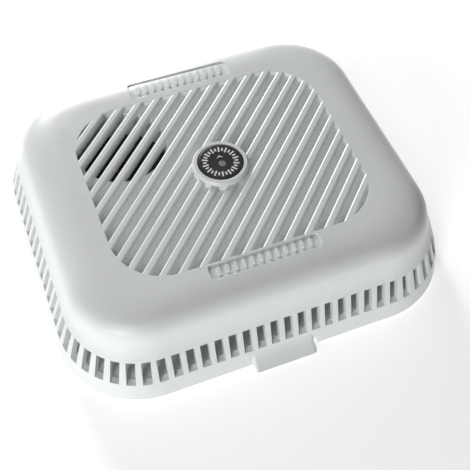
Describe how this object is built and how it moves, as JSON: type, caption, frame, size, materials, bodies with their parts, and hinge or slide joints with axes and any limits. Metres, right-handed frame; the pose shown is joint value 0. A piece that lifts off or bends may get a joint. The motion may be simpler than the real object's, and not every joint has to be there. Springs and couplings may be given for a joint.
{
  "type": "carbon monoxide detector",
  "caption": "Ceiling carbon monoxide detector with a rounded oblong slotted cover, diagonal grille, central test button and a slide-off mounting plate.",
  "frame": {"origin": "centre of the mounting plate's outline on its back face, which lies on the ceiling or wall", "axes": "+Z out of the ceiling towards the room, X along the long side, -Y towards the finger lip"},
  "size_m": [0.141, 0.1259, 0.0338],
  "materials": {
    "cover_white": "satin moulded ABS",
    "base_white": "moulded ABS",
    "button_black": "satin moulded",
    "mark_white": "printed ink",
    "pipe_clear": "clear moulded light pipe",
    "screw_steel": "zinc plated",
    "spring_steel": "drawn wire",
    "tinned_pin": "tinned",
    "brass": "rolled",
    "ceramic_white": "fired, silvered",
    "board_green": "solder mask",
    "component_black": "moulded",
    "capacitor_sleeve": "shrink sleeve",
    "ferrite_grey": "sintered ferrite",
    "sensor_grey": "moulded cell",
    "battery_jacket": "plain jacket",
    "lead_red": "insulated wire",
    "lead_black": "insulated wire",
    "led_red": "clear tinted",
    "label_paper": "blank"
  },
  "bodies": {
    "mounting_plate": {"mounting_plate": "base_white"},
    "release_catch": {"release_catch": "base_white"},
    "head": {"front_cover": "cover_white", "base_housing": "base_white", "cover_screws": "screw_steel", "circuit_board": "board_green", "board_screws": "screw_steel", "sensor_can": "sensor_grey", "sensor_cap": "component_black", "sensor_pins": "tinned_pin", "horn_body": "component_black", "sounder_disc": "brass", "sounder_ceramic": "ceramic_white", "horn_contacts": "tinned_pin", "battery_case": "battery_jacket", "battery_terminals": "tinned_pin", "battery_clip": "component_black", "battery_lead_red": "lead_red", "battery_lead_black": "lead_black", "controller_chip": "component_black", "horn_driver_chip": "component_black", "capacitors": "capacitor_sleeve", "resistors": "component_black", "boost_coil": "ferrite_grey", "crystal": "tinned_pin", "status_led": "led_red", "led_shroud": "component_black", "switch_body": "component_black", "back_label": "label_paper", "button_spring": "spring_steel"},
    "test_button": {"button_cap": "button_black", "button_marks": "mark_white", "light_pipe": "pipe_clear"},
    "switch_plunger": {"switch_plunger": "button_black"}
  },
  "joints": [
    {"name": "head_slide", "type": "slide", "parent": "mounting_plate", "child": "head", "axis": [0, 1, 0], "range_m": [0, 0.01]},
    {"name": "catch_press", "type": "hinge", "parent": "mounting_plate", "child": "release_catch", "pos_m": [0, -0.02305, 0.00205], "axis": [1, 0, 0], "range_deg": [0, 2.2], "stiffness_Nm_per_rad": 1.5, "springref_deg": -0.57},
    {"name": "button_press", "type": "slide", "parent": "head", "child": "test_button", "axis": [0, 0, -1], "range_m": [0, 0.001], "stiffness_N_per_m": 900, "springref_m": -0.001, "deforming": ["button_spring"]},
    {"name": "switch_press", "type": "slide", "parent": "head", "child": "switch_plunger", "axis": [0, 0, -1], "range_m": [0, 0.001], "stiffness_N_per_m": 200, "springref_m": -0.001}
  ],
  "couplings": [
    {"joint": "switch_press", "follows": "button_press", "ratio": 1}
  ]
}
